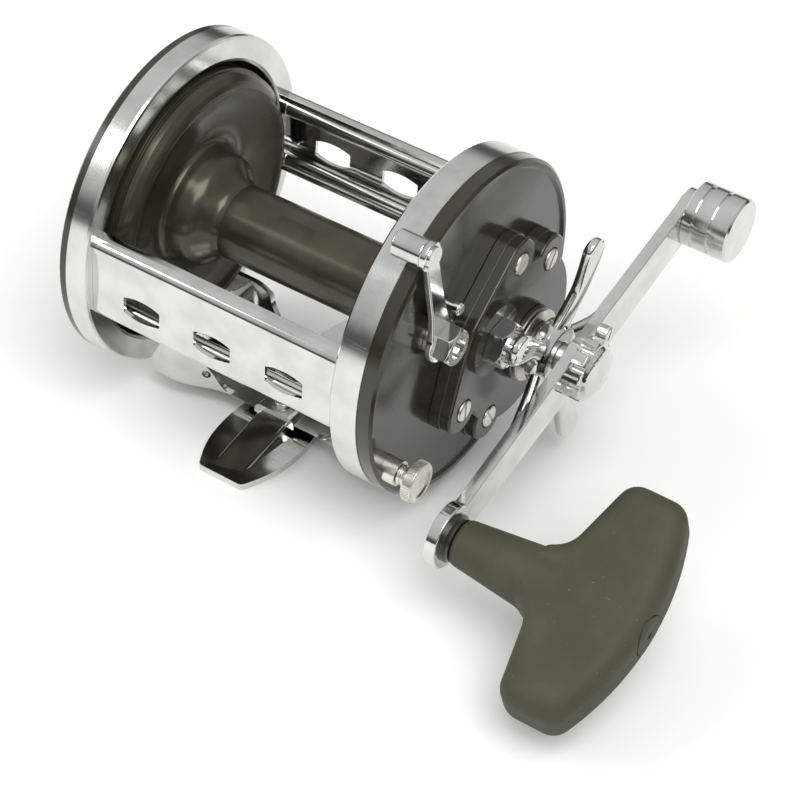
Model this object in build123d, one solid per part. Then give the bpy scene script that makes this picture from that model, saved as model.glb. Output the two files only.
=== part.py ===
"""Trolling reel: a star drag sea reel with ringed side plates, a slotted frame and a T grip on a balanced crank.

X runs along the spool axis to the crank, Y points to the rod tip, Z points up. Millimetres.
Every piece is drawn about the spool axis, midway between the two rings, and is then lifted by
AXIS_HEIGHT, so that the origin of the finished part is the middle of the underside of its foot.
"""
import os
from math import acos, cos, pi, radians, sin, tan

from build123d import *

os.makedirs("parts", exist_ok=True)

# ---- driving dimensions -------------------------------------------------------------------------
RING_RADIUS = 50.0
RING_BORE = 42.0
FRAME_HALF = 40.6              # spool axis: middle of the frame to the inner face of each ring
TAIL_RING_OUT = -47.3          # outer face of the tail ring
TAIL_FACE = -50.0              # outer rim of the tail plate
TAIL_SEAT = 49.0               # distance out to the seats of the tail screw heads
CRANK_RING_OUT = 49.3          # outer face of the crank side ring
PLATE_RIM = 53.9               # top of the raised rim on the crank side plate
PLATE_FACE = 53.1              # its slightly sunken face
PLATE_RADIUS = 49.7
DISH_RADIUS = 46.8

SPOOL_RIM = 40.3
ARBOR_RADIUS = 11.2
SPOOL_BACK = 45.5              # outer faces of the spool rims
SPOOL_FRONT = 35.2             # inner faces of the spool rims
SHAFT_RADIUS = 3.0
TANG_RADIUS = 2.4
TIP_RADIUS = 1.9

PILLAR_RADIUS = 2.7
PILLAR_OUT = 42.5              # distance of the pillars from the middle plane
PILLAR_TOP = 10.1
PILLAR_LOW = -8.4
SLOT_PITCH = 23.8
SLOT_WIDTH = 12.2
SLOT_MIDDLE = -2.7
SLOT_RISE = 3.7
SLOT_SIDE = 2.5

STAND_HALF = 20.5              # half width of the stand at the rings
STAND_WAIST = 15.8             # half width of its waist, over the foot
STAND_BASE = -51.4
STAND_SHEET = 1.7
STAND_TOP = -38.0
HUMP_HALF = 6.9                # pressed hump of the stand, over the spine of the foot
HUMP_TOP = -47.8
FOOT_TOP = -53.2
FOOT_THICK = 2.2
AXIS_HEIGHT = FOOT_THICK - FOOT_TOP    # spool axis above the underside of the foot
FOOT_HALF = 42.0
FOOT_TIP_HALF = 7.3
FOOT_WIDE_HALF = 12.9
FOOT_MIDDLE_HALF = 12.4
SPINE_HALF = 5.1

GEAR_CENTRES = 20.3
GEAR_ANGLE = -34.0             # direction from the spool axis to the crank axis
MODULE = 0.7
GEAR_TEETH = 44
PINION_TEETH = 14
PRESSURE_ANGLE = radians(20.0)
BACKLASH = 0.12

CAVITY_TOP = 58.3
BASE_TOP = 56.6
COVER_TOP = 59.8
FLANGE_TOP = 61.4
COLLAR_TOP = 62.0

SLEEVE_RADIUS = 4.0
RUNNING = 0.06                 # radial clearance of a running fit
ARM_BACK = 76.1
ARM_FRONT = 79.6
ARM_ANGLE = 14.5               # direction of the counterweight from the crank axis
ARM_GRIP = 65.4
ARM_WEIGHT = 63.5
WEIGHT_RADIUS = 9.8
WEIGHT_END = 94.3
GRIP_ANGLE = 22.0
GRIP_START = 82.0
GRIP_END = 139.5
GRIP_THICK = 17.0
GRIP_JOINT = 110.0             # where the moulded stem meets the moulded cross bar
PLUG_RADIUS = 5.65
STAR_RADIUS = 36.4
STAR_ANGLE = 70.0

LEVER_PIVOT = (-20.9, 11.3)
LEVER_LENGTH = 35.2
LEVER_ANGLE = 104.9
CAM_REACH = 16.2               # clutch cam, from the lever pivot to its nose
CAM_ANGLE = -76.0
THUMB_SCREW = (-39.1, -22.5)
BUTTON_HOME = 24.2             # click button, measured from the spool axis
BUTTON_TRAVEL = 4.0

crank_y = GEAR_CENTRES * cos(radians(GEAR_ANGLE))
crank_z = GEAR_CENTRES * sin(radians(GEAR_ANGLE))


# ---- helpers ------------------------------------------------------------------------------------
def rod(x0, x1, radius, y=0.0, z=0.0):
    """A round bar from x0 to x1, parallel to the spool axis."""
    bar = Cylinder(radius, x1 - x0, align=(Align.CENTER, Align.CENTER, Align.MIN))
    return Pos(x0, y, z) * Rot(0, 90, 0) * bar


def tube(x0, x1, outer, inner, y=0.0, z=0.0):
    """A round bar with a hole right through it."""
    return rod(x0, x1, outer, y, z) - rod(x0 - 1, x1 + 1, inner, y, z)


def turned(points, y=0.0, z=0.0):
    """A turned part from its half profile, given as (x, radius) points."""
    face = make_face(Polyline(*points, close=True))
    return Pos(0, y, z) * revolve(face, Axis.X, 360)


def slab(sketch, x0, x1):
    """A flat shape drawn in (y, z), from x0 to x1."""
    return extrude(Plane.YZ.offset(x0) * sketch, amount=x1 - x0)


def polar(radius, angle, y=0.0, z=0.0):
    """The (y, z) point at a radius and an angle from +Y about a centre."""
    return (y + radius * cos(radians(angle)), z + radius * sin(radians(angle)))


def housing_point(along, across):
    """The (y, z) point of a place given along and across the line from spool axis to crank axis."""
    direction = radians(GEAR_ANGLE)
    return (along * cos(direction) - across * sin(direction), along * sin(direction) + across * cos(direction))


def spot(radius, place):
    """A filled circle at a (y, z) place."""
    return Pos(place[0], place[1]) * Circle(radius)


def link(radius_a, place_a, radius_b, place_b):
    """The taut outline around two circles."""
    edges = spot(radius_a, place_a).edges() + spot(radius_b, place_b).edges()
    return make_hull(edges)


def group(shapes):
    """Several separate solids in one node."""
    solids = [solid for shape in shapes for solid in shape.solids()]
    return Compound(solids)


def slotted_head(x0, x1, radius, place, slot_angle):
    """A round screw head with a driver slot across its outer end."""
    head = fillet(rod(x0, x1, radius, *place).edges().group_by(Axis.X)[-1], 0.4 * abs(x1 - x0))
    slot = Pos(x1, *place) * Rot(slot_angle, 0, 0) * Box(1.2, 4 * radius, 0.7)
    return head - slot


def hexagon_bar(x0, x1, corner_radius, place, turn=0.0):
    """A hexagonal bar, chamfered on its outer end."""
    bar = slab(Pos(*place) * Rot(0, 0, turn) * RegularPolygon(corner_radius, 6), x0, x1)
    cone = turned([(x0, 0), (x0, corner_radius), (x1 - 1, corner_radius), (x1, corner_radius - 1), (x1, 0)], *place)
    return bar & cone


def gear_outline(teeth, tooth_angle, addendum=0.9, dedendum=1.15):
    """An involute gear face, with one tooth centred on tooth_angle (degrees)."""
    pitch = MODULE * teeth / 2
    base = pitch * cos(PRESSURE_ANGLE)
    tip = pitch + addendum * MODULE
    root = pitch - dedendum * MODULE
    involute = tan(PRESSURE_ANGLE) - PRESSURE_ANGLE
    half_pitch = pi / (2 * teeth) - BACKLASH / (2 * pitch)
    flank = [max(root, base) + (tip - max(root, base)) * step / 3 for step in range(4)]
    half_tooth = []
    for radius in flank:
        roll = acos(min(1.0, base / radius))
        half_tooth.append((radius, half_pitch + involute - (tan(roll) - roll)))
    if root < base:
        half_tooth.insert(0, (root, half_tooth[0][1]))
    points = []
    for tooth in range(teeth):
        middle = radians(tooth_angle) + 2 * pi * tooth / teeth
        points += [(r * cos(middle - a), r * sin(middle - a)) for r, a in half_tooth]
        points += [(r * cos(middle + a), r * sin(middle + a)) for r, a in reversed(half_tooth)]
    return make_face(Polyline(*points, close=True))


def notched_wheel(teeth, tip, root, lean):
    """A wheel outline with saw teeth: each leans by a share of its pitch."""
    points = []
    for tooth in range(teeth):
        start = 360 * tooth / teeth
        points.append(polar(root, start))
        points.append(polar(tip, start + lean * 360 / teeth))
    return make_face(Polyline(*points, close=True))


# ---- rings, plates, pillars ---------------------------------------------------------------------
def left_ring():
    lip = [(-41.6, RING_BORE), (-41.0, RING_BORE + 0.3), (-FRAME_HALF, RING_BORE + 1.2)]
    edge = [(-FRAME_HALF, RING_RADIUS - 1), (-40.9, RING_RADIUS - 0.3), (-41.6, RING_RADIUS)]
    body = turned([(TAIL_RING_OUT, RING_BORE)] + lip + edge + [(TAIL_RING_OUT, RING_RADIUS)])
    for place in tail_screw_places():
        body -= rod(-51, -43, 1.55, *place)
    return body


def right_ring():
    body = turned([(41.4, RING_BORE), (FRAME_HALF, RING_BORE + 0.8), (FRAME_HALF, RING_RADIUS - 0.6),
                   (41.2, RING_RADIUS), (CRANK_RING_OUT, RING_RADIUS), (CRANK_RING_OUT, RING_BORE)])
    return body - rod(40, 50, 2.2, *THUMB_SCREW)


def tail_screw_places():
    return [polar(46.2, 20 + 72 * k) for k in range(5)]


def button_place(radius):
    return polar(radius, 118)


def tail_plate():
    outside = [(TAIL_RING_OUT, 49.9), (-49.4, 49.9), (TAIL_FACE, 49.3), (-50.4, 44), (-54.0, 34),
               (-55.6, 22), (-56.0, 12), (-58.6, 11.2), (-58.6, 4.2)]
    inside = [(-55.4, 4.2), (-55.4, 6.55), (-48.6, 6.55), (-48.6, 9.4), (-53.0, 9.4), (-53.0, 22),
              (-51.6, 33), (-48.6, 42), (TAIL_RING_OUT, 43)]
    body = turned(outside + inside)
    for place in tail_screw_places():
        body -= rod(-51, -43, 1.55, *place) + rod(-53, -TAIL_SEAT, 3.1, *place)
    slot = link(1.7, button_place(BUTTON_HOME), 1.7, button_place(BUTTON_HOME + BUTTON_TRAVEL))
    return body - slab(slot, -58, -50)


def tail_screws():
    screws = []
    for place in tail_screw_places():
        head = mirror(slotted_head(TAIL_SEAT, TAIL_SEAT + 1.2, 2.9, place, 35), Plane.YZ)
        screws.append(head + rod(-TAIL_SEAT - 0.2, -43.2, 1.5, *place))
    return group(screws)


def pillar(side, height):
    place = (side * PILLAR_OUT, height)
    shoulder = 0.25
    bar = rod(-FRAME_HALF, FRAME_HALF, PILLAR_RADIUS - shoulder, *place)
    for end in (-1, 1):
        middle = end * (FRAME_HALF - 1.5)
        bar += rod(middle - 1.5, middle + 1.5, PILLAR_RADIUS, *place)
    return bar


def frame_plate(side):
    """A slotted channel: a flat web with its long edges rolled over the two pillars."""
    gap = PILLAR_RADIUS + 0.1
    sheet = 1.3
    top = PILLAR_TOP + gap
    low = PILLAR_LOW - gap
    height = top - low
    middle = (top + low) / 2
    reach = 14.0
    outer = RectangleRounded(reach, height + 2 * sheet, 3.6)
    inner = RectangleRounded(reach, height, 2.4)
    face = PILLAR_OUT + gap
    outer_middle = side * (face + sheet - reach / 2)
    inner_middle = side * (face - reach / 2)
    channel = Pos(outer_middle, middle) * outer - Pos(inner_middle, middle) * inner
    channel -= Pos(side * (PILLAR_OUT - 1.2 - reach / 2), middle) * Rectangle(reach, 2 * height)
    body = slab(channel, -FRAME_HALF, FRAME_HALF)
    rise = SLOT_RISE - SLOT_SIDE
    half = SLOT_WIDTH / 2
    for index in (-1, 0, 1):
        centre = index * SLOT_PITCH
        upper = ThreePointArc((-half, SLOT_SIDE), (0, SLOT_SIDE + rise), (half, SLOT_SIDE))
        lower = ThreePointArc((half, -SLOT_SIDE), (0, -SLOT_SIDE - rise), (-half, -SLOT_SIDE))
        sides = [Line((half, SLOT_SIDE), (half, -SLOT_SIDE)), Line((-half, -SLOT_SIDE), (-half, SLOT_SIDE))]
        window = make_face([upper, lower] + sides)
        window = Pos(centre, side * PILLAR_OUT, SLOT_MIDDLE) * Rot(90, 0, 0) * window
        body -= extrude(window, amount=8, both=True)
    return body


def stand_plan(inset=0.0):
    """The outline of the stand seen from above, drawn in by inset: wide at the rings, waisted over the foot."""
    past = FRAME_HALF + 5
    wide = STAND_HALF - inset
    waist = STAND_WAIST - inset
    lean = 0.3 * inset
    edge = [(33.0, wide), (26.5 + lean, 18.9 - inset), (20.5 + lean, 16.7 - inset), (13.0, waist)]
    half = [Line((past, wide), edge[0]), Spline(*edge, tangents=[(-1, 0), (-1, 0)]), Line(edge[-1], (0, waist))]
    half += [mirror(piece, Plane.YZ) for piece in half]
    ends = [Line((x, wide), (x, -wide)) for x in (past, -past)]
    return make_face(half + [mirror(piece, Plane.XZ) for piece in half] + ends)


def hump(half_width, top, radius):
    """A long rounded bar along the spine of the foot, from below the stand up to top."""
    height = top - STAND_BASE + 2 * radius
    outline = Pos(0, top - height / 2) * RectangleRounded(2 * half_width, height, radius)
    return extrude(Plane.XZ * outline, amount=STAND_WAIST, both=True)


def stand():
    """A pressed saddle between the rings, under the spool, which the foot hangs from.

    Its sides rise beside the rings and run out over the foot, where the sheet is pressed up over the spine.
    """
    height = STAND_TOP - STAND_BASE
    outside = Pos(0, 0, STAND_BASE) * extrude(stand_plan(), amount=height)
    outside = fillet(outside.edges().group_by(Axis.Z)[0], 2.6)
    inside = Pos(0, 0, STAND_BASE + STAND_SHEET) * extrude(stand_plan(STAND_SHEET), amount=height)
    inside = fillet(inside.edges().group_by(Axis.Z)[0], 1.0)
    top = STAND_BASE + STAND_SHEET
    brow = Spline((24.6, STAND_TOP), (21.6, -43.4), (18.6, -47.9), (15.0, top), tangents=[(-0.1, -1), (-1, -0.1)])
    floor = Line((15.0, top), (-15.0, top))
    sides = [Line((24.6, STAND_TOP), (24.6, -30)), Line((-24.6, STAND_TOP), (-24.6, -30))]
    opening = make_face([brow, floor, mirror(brow, Plane.YZ), Line((24.6, -30), (-24.6, -30))] + sides)
    body = outside - inside - extrude(Plane.XZ * opening, amount=30, both=True)
    body &= Pos(0, 0, STAND_BASE) * Box(2 * FRAME_HALF, 60, 60)
    pressed = hump(HUMP_HALF, HUMP_TOP, 2.4) & (Pos(0, 0, STAND_BASE + 10) * Box(40, 60, 20))
    body += pressed
    body -= hump(SPINE_HALF + 0.1, HUMP_TOP - STAND_SHEET, 0.8)
    for x in (-23.0, 23.0):
        body -= Pos(x, 0, -44.6) * Rot(90, 0, 0) * Cylinder(1.3, 60)
    for y in rivet_lines():
        body -= Pos(0, y, STAND_BASE) * Cylinder(1.45, 12)
    return body


def rivet_lines():
    return (-11.0, -4.0, 4.0, 11.0)


def foot():
    """A leaf shaped saddle foot: wide in the middle, narrow straight tips, with a spine that fades out."""
    half = [(FOOT_TIP_HALF, FOOT_HALF), (9.3, 38.0), (11.2, 33.0), (12.6, 25.5),
            (FOOT_WIDE_HALF, 20.0), (FOOT_MIDDLE_HALF, 13.0)]
    outline = [Spline(*half)]
    outline.append(Line((FOOT_MIDDLE_HALF, 13.0), (FOOT_MIDDLE_HALF, -13.0)))
    outline.append(Spline(*[(x, -y) for x, y in reversed(half)]))
    outline.append(Line((FOOT_TIP_HALF, -FOOT_HALF), (-FOOT_TIP_HALF, -FOOT_HALF)))
    outline.append(Spline(*[(-x, -y) for x, y in half]))
    outline.append(Line((-FOOT_MIDDLE_HALF, -13.0), (-FOOT_MIDDLE_HALF, 13.0)))
    outline.append(Spline(*[(-x, y) for x, y in reversed(half)]))
    outline.append(Line((-FOOT_TIP_HALF, FOOT_HALF), (FOOT_TIP_HALF, FOOT_HALF)))
    leaf = Pos(0, 0, FOOT_TOP - FOOT_THICK) * extrude(make_face(outline), amount=FOOT_THICK)
    leaf = fillet(leaf.edges().filter_by(Axis.Z).filter_by(lambda edge: abs(edge.center().Y) > 40), 1.8)
    spine_top = HUMP_TOP - STAND_SHEET - 0.05
    ridge = [(-37.0, FOOT_TOP), (-22.0, -50.6), (-16.0, spine_top), (16.0, spine_top), (22.0, -50.6), (37.0, FOOT_TOP),
             (37.0, FOOT_TOP - 1), (-37.0, FOOT_TOP - 1)]
    spine = extrude(Plane.YZ * make_face(Polyline(*ridge, close=True)), amount=SPINE_HALF, both=True)
    upper = [edge for edge in spine.edges() if edge.center().Z > FOOT_TOP + 0.1 and abs(edge.center().X) > 4]
    body = leaf + fillet(upper, 0.9)
    for y in rivet_lines():
        body -= Pos(0, y, FOOT_TOP) * Cylinder(1.45, 12)
    return body


def foot_rivets():
    """Rivets with round heads inside the stand; their tails end just above the underside of the foot."""
    rivets = []
    tail = -AXIS_HEIGHT + 0.1
    length = HUMP_TOP + 0.1 - tail
    for y in rivet_lines():
        stem = Pos(0, y, 0) * Cylinder(1.4, length, align=(Align.CENTER, Align.CENTER, Align.MIN))
        head = Pos(0, y, HUMP_TOP) * Cylinder(2.6, 1.1, align=(Align.CENTER, Align.CENTER, Align.MIN))
        rivets.append(Pos(0, 0, tail) * stem + fillet(head.edges().group_by(Axis.Z)[-1], 0.5))
    return group(rivets)


# ---- crank side plate and gear housing ----------------------------------------------------------
def screw_places():
    return [housing_point(0.9, 21.7), housing_point(20.0, 23.8),
            housing_point(0.9, -21.7), housing_point(20.0, -23.8)]


def housing_outline(extra=0.0):
    """The lobed outline of the gear housing, grown by extra."""
    lobe = 7.2 + extra
    crank = (crank_y, crank_z)
    shape = spot(12.7 + extra, (0, 0)) + spot(25.6 + extra, crank)
    upper_near, upper_far, lower_near, lower_far = screw_places()
    shape += link(12.7 + extra, (0, 0), lobe, upper_near)
    shape += link(12.7 + extra, (0, 0), lobe, lower_near)
    shape += make_face(Polyline(upper_near, upper_far, lower_far, lower_near, close=True))
    for place in screw_places():
        shape += spot(lobe, place)
    return shape


def cavity_outline(less=0.0):
    """The room inside the housing: the gear, the pinion, the yoke and the dog."""
    shape = spot(17.4 - less, (crank_y, crank_z)) + spot(9.2 - less, (0, 0))
    shape += link(4.2 - less, housing_point(0, 12.2), 4.2 - less, housing_point(0, -12.2))
    shape += spot(7.0 - less, dog_pivot())
    return shape


def dog_pivot():
    return polar(15.5, -96, crank_y, crank_z)


def cam_room():
    """The pocket behind the side plate in which the clutch cam swings."""
    return spot(CAM_REACH + 0.5, LEVER_PIVOT)


def handle_plate():
    rim = [(CRANK_RING_OUT, 0), (CRANK_RING_OUT, PLATE_RADIUS), (PLATE_RIM - 0.7, PLATE_RADIUS),
           (PLATE_RIM, PLATE_RADIUS - 0.9), (PLATE_RIM, DISH_RADIUS + 0.8), (PLATE_FACE, DISH_RADIUS), (PLATE_FACE, 0)]
    body = turned(rim)
    body -= slab(cavity_outline(), CRANK_RING_OUT - 1, PLATE_FACE + 1)
    body -= slab(cam_room(), CRANK_RING_OUT - 1, 52.0)
    body -= rod(49, 56, 2.4 + RUNNING, *LEVER_PIVOT)
    body -= rod(49, 56, 2.2, *THUMB_SCREW)
    body -= rod(52.3, 56, 3.75, *THUMB_SCREW)
    body -= rod(51, 56, 1.3, *stop_pin_place())
    for place in screw_places():
        body -= rod(50.4, 56, 1.55, *place)
    return body


def inner_plate():
    """The metal disc inside the crank ring, which carries the spool bearing and the gear stud."""
    body = rod(46.4, 48.4, RING_BORE - 0.05) + rod(48.4, 50.0, 8.6)
    body -= rod(46, 51, 6.55)
    body -= rod(46, 49, 3.0 + RUNNING, crank_y, crank_z)
    body -= rod(46, 49, 1.0, *dog_pivot())
    for across in (-12.2, 12.2):
        body -= rod(47.4, 49, 1.5, *housing_point(0, across))
    return body


def housing_base():
    body = slab(housing_outline(0.35), PLATE_FACE, BASE_TOP)
    body -= slab(cavity_outline(), PLATE_FACE - 1, BASE_TOP + 1)
    for place in screw_places():
        body -= rod(PLATE_FACE - 1, BASE_TOP + 1, 1.55, *place)
    return body


def housing_cover():
    body = slab(housing_outline(), BASE_TOP, COVER_TOP)
    body = fillet(body.faces().sort_by(Axis.X)[-1].edges(), 0.7)
    body += rod(COVER_TOP - 1, FLANGE_TOP, 10.7)
    body += rod(COVER_TOP - 1, COLLAR_TOP, 11.6, crank_y, crank_z)
    body += rod(FLANGE_TOP - 1, 64.4, 4.9)
    body -= slab(cavity_outline(), BASE_TOP - 1, CAVITY_TOP)
    body -= rod(CAVITY_TOP - 1, 59.5, 6.2)
    body -= rod(59.4, 63.2, 4.05)
    body -= rod(63, 65, TIP_RADIUS + 0.5)
    body -= rod(CAVITY_TOP - 1, COLLAR_TOP + 1, SLEEVE_RADIUS + RUNNING, crank_y, crank_z)
    for across in (-12.2, 12.2):
        body -= rod(CAVITY_TOP - 1, 59.2, 2.7, *housing_point(0, across))
    for place in screw_places():
        body -= rod(BASE_TOP - 1, COVER_TOP + 1, 1.55, *place)
        body -= rod(COVER_TOP - 0.9, COVER_TOP + 3, 3.6, *place)
    return body


def housing_screws():
    screws = []
    for index, place in enumerate(screw_places()):
        head = slotted_head(COVER_TOP - 0.9, COVER_TOP + 0.6, 3.2, place, 28 + 31 * index)
        screws.append(head + rod(50.6, COVER_TOP - 0.5, 1.5, *place))
    return group(screws)


# ---- spool --------------------------------------------------------------------------------------
def spool():
    half = [(SPOOL_BACK, SHAFT_RADIUS), (SPOOL_BACK, 9.0), (42.4, 9.0), (42.4, 32.0), (43.6, 37.2),
            (SPOOL_BACK, 37.6), (SPOOL_BACK, SPOOL_RIM - 0.4), (SPOOL_BACK - 0.4, SPOOL_RIM),
            (40.2, SPOOL_RIM), (40.2, SPOOL_RIM - 0.7), (39.4, SPOOL_RIM - 0.7), (39.2, SPOOL_RIM - 0.3),
            (37.4, SPOOL_RIM - 1.0), (SPOOL_FRONT + 0.2, 36.4), (SPOOL_FRONT, 35.6), (37.2, 33.0), (39.2, 28.0),
            (39.8, 19.0), (38.0, 17.6), (34.0, 17.0), (30.6, 15.6), (27.4, 12.6), (25.4, ARBOR_RADIUS)]
    mirrored = [(-x, r) for x, r in reversed(half)]
    return turned(half + mirrored)


def spool_shaft():
    """A stepped shaft with a flat tang where the pinion takes hold of it."""
    body = turned([(-55.0, 0), (-55.0, 2.6), (-54.6, SHAFT_RADIUS - 0.03), (-SPOOL_BACK, SHAFT_RADIUS - 0.03),
                   (-SPOOL_BACK, SHAFT_RADIUS), (SPOOL_BACK, SHAFT_RADIUS), (SPOOL_BACK, SHAFT_RADIUS - 0.03),
                   (50.4, SHAFT_RADIUS - 0.03), (50.4, TANG_RADIUS), (52.4, TANG_RADIUS), (52.4, TIP_RADIUS - 0.04),
                   (64.2, TIP_RADIUS - 0.04), (64.2, 0)])
    for side in (-1, 1):
        body -= Pos(51.45, 0, side * (1.5 + 2)) * Box(1.98, 8, 4)
    return body


def click_gear():
    wheel = slab(notched_wheel(18, 8.2, 6.9, 0.5), -47.9, -46.0)
    return wheel - rod(-49, -45, SHAFT_RADIUS - 0.03)


def spool_bearing(x0, x1, outer, inner):
    """A shielded ball bearing: two races and a shield on each face."""
    middle = (outer + inner) / 2
    shield = 0.35
    body = tube(x0, x1, outer, inner)
    for face, step in ((x0, 1), (x1, -1)):
        low = min(face, face + step * shield)
        high = max(face, face + step * shield)
        body -= tube(low, high, middle + 0.25 * (outer - inner), middle - 0.25 * (outer - inner))
    return body


# ---- pinion, yoke and clutch --------------------------------------------------------------------
def pinion():
    """Pinion teeth, a neck for the yoke and a flange, with a slot that takes the tang of the shaft."""
    tooth_angle = GEAR_ANGLE + 180 / PINION_TEETH
    body = slab(gear_outline(PINION_TEETH, tooth_angle), 50.9, 55.3)
    body += rod(55.2, 56.4, 3.1) + rod(56.3, 57.0, 4.6)
    body -= rod(50, 58, TIP_RADIUS + 0.03)
    body -= rod(50, 52.6, TANG_RADIUS + 0.06) & (Pos(51, 0, 0) * Box(4, 12, 3.2))
    return body


def yoke():
    """A forked plate that straddles the pinion neck and slides on two posts."""
    shape = link(3.6, housing_point(0, 12.2), 3.6, housing_point(0, -12.2)) + spot(6.6, (0, 0))
    shape -= spot(3.25, (0, 0))
    shape -= Pos(*housing_point(5.0, 0)) * Rot(0, 0, GEAR_ANGLE) * Rectangle(10.0, 6.5)
    leg = link(1.2, housing_point(-7.6, 1.4), 1.2, housing_point(-7.6, -1.4))
    shape += leg + Pos(*housing_point(-6.6, 0)) * Rot(0, 0, GEAR_ANGLE) * Rectangle(2.6, 5.2)
    for across in (-12.2, 12.2):
        shape -= spot(1.45 + RUNNING, housing_point(0, across))
    return slab(shape, 55.5, 56.2) + slab(leg, 52.3, 55.6)


def yoke_posts():
    return group([rod(47.5, CAVITY_TOP, 1.45, *housing_point(0, across)) for across in (-12.2, 12.2)])


def coil_spring(x0, x1, turns, coil_radius, wire_radius, place):
    """A closed helix of round wire, parallel to the spool axis."""
    path = Helix((x1 - x0) / turns, x1 - x0, coil_radius)
    wire = sweep(Plane(path @ 0, z_dir=path % 0) * Circle(wire_radius), path, transition=Transition.ROUND)
    return Pos(x0, *place) * Rot(0, 90, 0) * wire


def yoke_springs():
    return group([coil_spring(58.35, 59.0, 1.5, 2.1, 0.14, housing_point(0, across)) for across in (-12.2, 12.2)])


def clutch_lever():
    top = polar(LEVER_LENGTH, LEVER_ANGLE, *LEVER_PIVOT)
    middle = polar(12.0, LEVER_ANGLE, *LEVER_PIVOT)
    shape = spot(6.3, LEVER_PIVOT) + link(5.0, LEVER_PIVOT, 3.1, middle) + link(3.1, middle, 2.6, top)
    shape += spot(4.2, top)
    body = slab(shape, 55.0, 57.0)
    return body - rod(54, 58, 2.4, *LEVER_PIVOT)


def lever_knob():
    top = polar(LEVER_LENGTH, LEVER_ANGLE, *LEVER_PIVOT)
    return fillet(rod(46.2, 55.0, 3.9, *top).edges(), 0.5) + rod(57.0, 57.7, 3.2, *top)


def lever_shaft():
    body = rod(49.3, 59.4, 2.4, *LEVER_PIVOT)
    return body + rod(53.2, 55.0, 4.4, *LEVER_PIVOT)


def lever_nut():
    """A hexagonal nut with a deep round recess in its outer end."""
    nut = hexagon_bar(57.0, 61.8, 5.9, LEVER_PIVOT, 12)
    return nut - rod(56, 59.4, 2.4, *LEVER_PIVOT) - rod(60.0, 63.0, 3.3, *LEVER_PIVOT)


def clutch_cam():
    """The plate on the inner end of the lever shaft whose tip lifts the yoke leg."""
    nose = 2.2
    tip = polar(CAM_REACH - nose, CAM_ANGLE, *LEVER_PIVOT)
    plate = slab(link(4.0, LEVER_PIVOT, nose, tip), 50.3, 51.7)
    return plate - rod(49, 53, 2.4, *LEVER_PIVOT)


def stop_pin_place():
    return (-12.6, 16.6)


def stop_pin():
    place = stop_pin_place()
    return rod(52.1, 55.6, 1.25, *place) + fillet(rod(55.0, 57.0, 2.0, *place).edges().group_by(Axis.X)[-1], 0.8)


# ---- crank train --------------------------------------------------------------------------------
def gear_sleeve():
    """The long sleeve on the crank axis: stub, gear seat, star thread and arm seat in one bar."""
    body = rod(46.9, 49.0, 3.0, crank_y, crank_z)
    body += rod(48.9, ARM_BACK, SLEEVE_RADIUS, crank_y, crank_z)
    return body + rod(ARM_BACK - 0.1, 84.0, 3.2, crank_y, crank_z)


def ratchet():
    wheel = Pos(crank_y, crank_z) * notched_wheel(12, 10.0, 8.2, 0.12)
    return slab(wheel - spot(SLEEVE_RADIUS, (crank_y, crank_z)), 49.2, 50.8)


def main_gear():
    """A bronze gear with a cup for the drag washers."""
    teeth = Pos(crank_y, crank_z) * gear_outline(GEAR_TEETH, GEAR_ANGLE + 180)
    body = slab(teeth, 51.2, 55.2)
    body -= rod(52.4, 56, 12.9, crank_y, crank_z)
    return body - rod(51, 53, SLEEVE_RADIUS, crank_y, crank_z)


def drag_washers(first):
    """Every other washer of the drag stack, which starts at washer number first."""
    step = 0.8
    stack = []
    for index in range(first, 6, 2):
        low = 52.4 + step * index
        stack.append(tube(low, low + step, 12.6, SLEEVE_RADIUS, crank_y, crank_z))
    return group(stack)


def collar_washer():
    return tube(62.2, 63.3, 11.2, SLEEVE_RADIUS, crank_y, crank_z)


def spring_washers():
    washers = []
    for low, outer_low, inner_low in ((63.3, 0.0, 0.4), (64.1, 0.4, 0.0)):
        profile = [(low + inner_low, SLEEVE_RADIUS), (low + outer_low, 10.8), (low + outer_low + 0.4, 10.8),
                   (low + inner_low + 0.4, SLEEVE_RADIUS)]
        washers.append(turned(profile, crank_y, crank_z))
    return group(washers)


def star_spacer():
    return tube(64.9, 66.3, 7.2, SLEEVE_RADIUS, crank_y, crank_z)


def star_wheel():
    """Five waisted paddles, swept outwards from a round hub."""
    hub = turned([(66.4, SLEEVE_RADIUS + 0.05), (66.4, 8.6), (67.2, 9.6), (70.6, 9.6), (72.6, 8.0),
                  (72.6, SLEEVE_RADIUS + 0.05)], crank_y, crank_z)
    centre = (crank_y, crank_z)
    plan = spot(6.0, centre)
    for arm in range(5):
        angle = STAR_ANGLE + 72 * arm
        root = polar(9.0, angle, *centre)
        waist = polar(20.0, angle - 2.5, *centre)
        tip = polar(STAR_RADIUS - 4.0, angle, *centre)
        plan += link(3.3, root, 2.5, waist) + link(2.5, waist, 4.0, tip)
    sheet = turned([(68.0, 4.5), (71.0, 4.5), (75.3, 38), (72.5, 38)], *centre)
    arms = slab(plan, 66, 76) & sheet
    return hub + (arms - rod(60, 80, SLEEVE_RADIUS + 0.05, *centre))


def grip_place():
    return polar(ARM_GRIP, ARM_ANGLE + 180, crank_y, crank_z)


def weight_place():
    return polar(ARM_WEIGHT, ARM_ANGLE, crank_y, crank_z)


def nut_screw_place():
    return polar(12.4, ARM_ANGLE + 6, crank_y, crank_z)


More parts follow.
